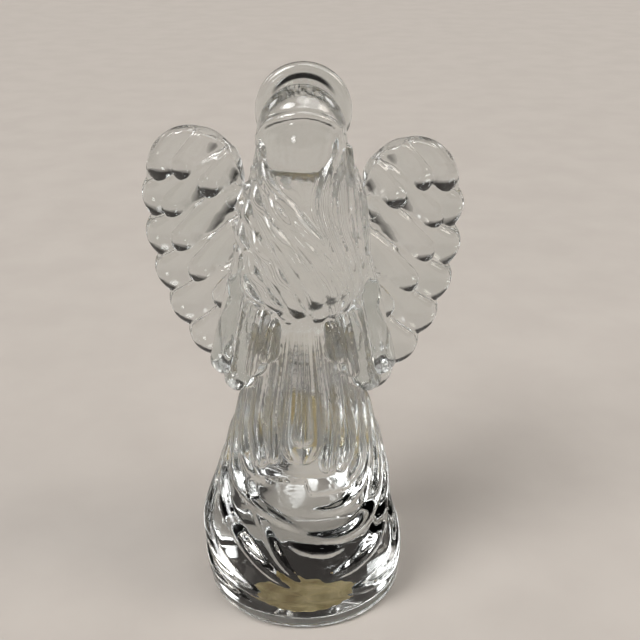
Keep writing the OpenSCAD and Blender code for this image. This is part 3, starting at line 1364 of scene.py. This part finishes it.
@dataclass(frozen=True)
class RoomLamp:
    """A soft round lamp far off in the room.

    Azimuth 0 lies in front of the figurine and 90 on its +X side. The lamp is full inside the
    inner angle from its middle and fades out at the outer one.
    """

    azimuth: float
    elevation: float
    inner: float
    outer: float
    power: float
    colour: str = "#FFFFFF"

    def direction(self) -> tuple[float, float, float]:
        """Return the unit direction to the lamp."""
        a, e = math.radians(self.azimuth), math.radians(self.elevation)
        return math.sin(a) * math.cos(e), -math.cos(a) * math.cos(e), math.sin(e)


@dataclass
class Studio:
    """Plain pale floor, soft lights and a camera a little above the figurine.

    The room is a list of elevations in degrees, each with the room's colour there.
    """

    camera_mm: tuple[float, float, float] = (4.6, -247.2, 193.0)
    pitch: float = 24.13
    lens_mm: float = 56.25
    clip_mm: float = 10.0
    floor_mm: float = 4000.0
    bounces: int = 24
    glossy_bounces: int = 8
    bond_bounces: int = 48
    softboxes: tuple[tuple[str, RoomLamp], ...] = (
        ("key_softbox", RoomLamp(-50, 52, 0, 30, 1.75)),
        ("fill_softbox", RoomLamp(60, 60, 0, 40, 0.95)),
    )
    room: tuple[tuple[float, str], ...] = (
        (-90, "#C6BEB6"), (-3, "#C6BEB6"), (5, "#1D1B1A"), (60, "#0E0D0D"), (90, "#1C1B1A"),
    )
    lamps: tuple[RoomLamp, ...] = (
        RoomLamp(-56, 44, 9, 20, 7.0),
        RoomLamp(78, 38, 7, 17, 6.5, "#FFF8F0"),
        RoomLamp(-122, 30, 3, 10, 6.0),
        RoomLamp(132, 28, 3, 10, 5.0),
        RoomLamp(20, 80, 6, 17, 4.0),
        RoomLamp(-22, 14, 2.5, 7, 9.0),
    )

    def floor(self) -> None:
        """Lay the floor."""
        bpy.ops.object.select_all(action="DESELECT")
        bpy.ops.mesh.primitive_circle_add(vertices=128, radius=self.floor_mm * MM, fill_type="NGON")
        floor = bpy.context.object
        floor.name = "studio_floor"
        floor.data.materials.append(PaleFloor().material())

    def camera(self) -> None:
        """Place the camera."""
        data = bpy.data.cameras.new("camera")
        data.lens = self.lens_mm
        data.clip_start = self.clip_mm * MM
        camera = bpy.data.objects.new("camera", data)
        bpy.context.collection.objects.link(camera)
        camera.location = [v * MM for v in self.camera_mm]
        camera.rotation_euler = (math.radians(90.0 - self.pitch), 0.0, 0.0)
        bpy.context.scene.camera = camera

    def far_softbox(self, name: str, lamp: RoomLamp) -> None:
        """Light the figurine and floor evenly from a wide, far softbox.

        Args:
            name: The softbox's name.
            lamp: Its direction, power and outer angle, over which it spreads.
        """
        data = bpy.data.lights.new(name, "SUN")
        data.angle = math.radians(lamp.outer)
        data.energy = lamp.power
        light = bpy.data.objects.new(name, data)
        bpy.context.collection.objects.link(light)
        light.rotation_euler = (-Vector(lamp.direction())).to_track_quat("-Z", "Y").to_euler()
        light.visible_transmission = False

    def glow(self, tree: Tree, way: bpy.types.NodeSocket, lamp: RoomLamp) -> bpy.types.Node:
        """Add one of the room's lamps to the world.

        Args:
            tree: The world's node tree.
            way: The socket that gives the direction looked in.
            lamp: The lamp.

        Returns:
            The node that holds the lamp's light.
        """
        dot = add_node(tree, "VectorMath", {0: way}, {1: lamp.direction()}, operation="DOT_PRODUCT")
        edges = {"From Min": math.cos(math.radians(lamp.outer)),
                 "From Max": math.cos(math.radians(lamp.inner)), "To Max": lamp.power}
        soft = add_node(tree, "MapRange", {"Value": dot.outputs["Value"]}, edges,
                        interpolation_type="SMOOTHSTEP")
        return add_node(tree, "Background", {"Strength": soft.outputs["Result"]},
                        {"Color": linear(lamp.colour)})

    def world(self) -> None:
        """Light the room: pale low down, dark above, with soft round lamps to edge the glass."""
        world = bpy.data.worlds.new("studio_room")
        bpy.context.scene.world = world
        world.use_nodes = True
        tree = world.node_tree
        tree.nodes.clear()
        way = add_node(tree, "TexCoord").outputs["Generated"]
        height = add_node(tree, "SeparateXYZ", {"Vector": way}).outputs["Z"]
        share = add_node(tree, "MapRange", {"Value": height}, {"From Min": -1.0, "From Max": 1.0})
        bands = add_node(tree, "ValToRGB", {"Fac": share.outputs["Result"]})
        ramp(bands, [(0.5 + 0.5 * math.sin(math.radians(e)), linear(colour)) for e, colour in self.room])
        total = add_node(tree, "Background", {"Color": bands.outputs["Color"]}, {"Strength": 1.0})
        for lamp in self.lamps:
            glow = self.glow(tree, way, lamp)
            total = add_node(tree, "AddShader", {0: total.outputs[0], 1: glow.outputs[0]})
        add_node(tree, "OutputWorld", {"Surface": total.outputs[0]})

    def build(self) -> None:
        """Set up the whole studio."""
        self.floor()
        self.camera()
        for name, lamp in self.softboxes:
            self.far_softbox(name, lamp)
        self.world()
        scene = bpy.context.scene
        scene.view_settings.view_transform = "Standard"
        scene.cycles.max_bounces = self.bounces
        scene.cycles.transmission_bounces = self.bounces
        scene.cycles.glossy_bounces = self.glossy_bounces
        scene.cycles.transparent_max_bounces = self.bond_bounces


# ---------------------------------------------------------------- assembly


@dataclass
class Angel:
    """The whole figurine, with its main sizes taken from the CAD frame."""

    right_drop: float = 3.0
    halo_x: float = 0.4
    wing_bond_y: float = 4.8
    feather_rows: tuple[FeatherRow, ...] = (
        FeatherRow(((43.3, 108.3), (43.9, 79.5), (22.2, 59.6)), (42, 60), 6, 27.0, 5.6, 1.9),
        FeatherRow(((36.4, 106.0), (34.5, 91.0), (22.5, 80.5)), (60, 66), 4, 27.0, 4.9, 2.6),
        FeatherRow(((38.8, 117.0), (31.5, 119.8), (24.4, 113.0)), (76, 74), 3, 18.0, 4.5, 3.1, 38.0),
    )
    sleeve_lobes: tuple[Lobe, ...] = (
        Lobe((15.0, -3.0, 106.0), (21.4, -4.5, 69.5), 4.4, 6.6),
        Lobe((12.6, -6.0, 95.0), (17.7, -7.0, 65.4), 4.2, 5.6),
        Lobe((9.8, -8.0, 90.0), (13.2, -9.5, 70.5), 3.3, 4.6),
        Lobe((6.8, -9.5, 87.0), (9.6, -11.0, 75.0), 2.7, 3.8),
    )

    def mm_box(self, node: str) -> tuple[Array, Array]:
        """Return a CAD node's lowest and highest corners in millimetres."""
        low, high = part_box(node)
        return np.array(low) / MM, np.array(high) / MM

    def halo(self) -> HaloForm:
        """Return the halo's form, where the CAD halo lies."""
        low, high = self.mm_box("halo")
        middle = (low + high) / 2
        return HaloForm((high[0] - low[0]) / 2, (self.halo_x, middle[1], middle[2]))

    def limbs(self, side: float) -> list[ClosedForm]:
        """Return one side's wing and sleeve; the wing on the +X side hangs a little lower."""
        drop = 0.0 if side < 0 else self.right_drop
        lobes = (replace(lobe, side=side) for lobe in self.sleeve_lobes)
        return [WingForm(side, drop, self.feather_rows), *lobes]

    def build(self) -> None:
        """Build every piece in order."""
        foot, robe, torso, head, halo = (self.mm_box(n) for n in ("foot", "robe", "torso", "head", "halo"))
        bonds = Bonds(foot[1][2], robe[1][2], torso[1][2], halo[0][1], self.wing_bond_y)
        robe_form = RobeForm((foot[1][0] - foot[0][0]) / 2, bonds.waist_z, bonds.hem_z)
        bust_form = BustForm(bonds.waist_z, bonds.neck_z, head[1][2])
        limbs = self.limbs(-1.0) + self.limbs(1.0)
        forms = [robe_form, bust_form, FaceForm(), self.halo(), *limbs, RidgeForm()]
        casting = Casting(LeadCrystal().material(), OpticalBond().material())
        body = casting.fuse([form.shape() for form in forms])
        normals = SkinNormals(body)
        core = CoreCutter(robe_form, bust_form).shape()
        for node, piece in casting.divide(body, core, bonds).items():
            piece = without_crumbs(piece)
            casting.polish(piece, normals)
            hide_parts(node)
            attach(piece, "root")
            LOG.info("%s: %d faces", piece.name, len(piece.data.polygons))
        self.label()

    def label(self) -> None:
        """Build the foil label where the CAD label lies."""
        low, high = self.mm_box("foil_label")
        centre = ((low[0] + high[0]) / 2, (low[1] + high[1]) / 2)
        piece = FoilLabel(centre, high[2], (high[0] - low[0]) / 2).build()
        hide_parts("foil_label")
        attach(piece, "root")
        LOG.info("%s: %d faces", piece.name, len(piece.data.polygons))


def main() -> None:
    """Build the studio and the figurine."""
    logging.basicConfig(level=logging.INFO, format="%(name)s: %(message)s")
    Studio().build()
    Angel().build()


if __name__ == "__main__":
    main()
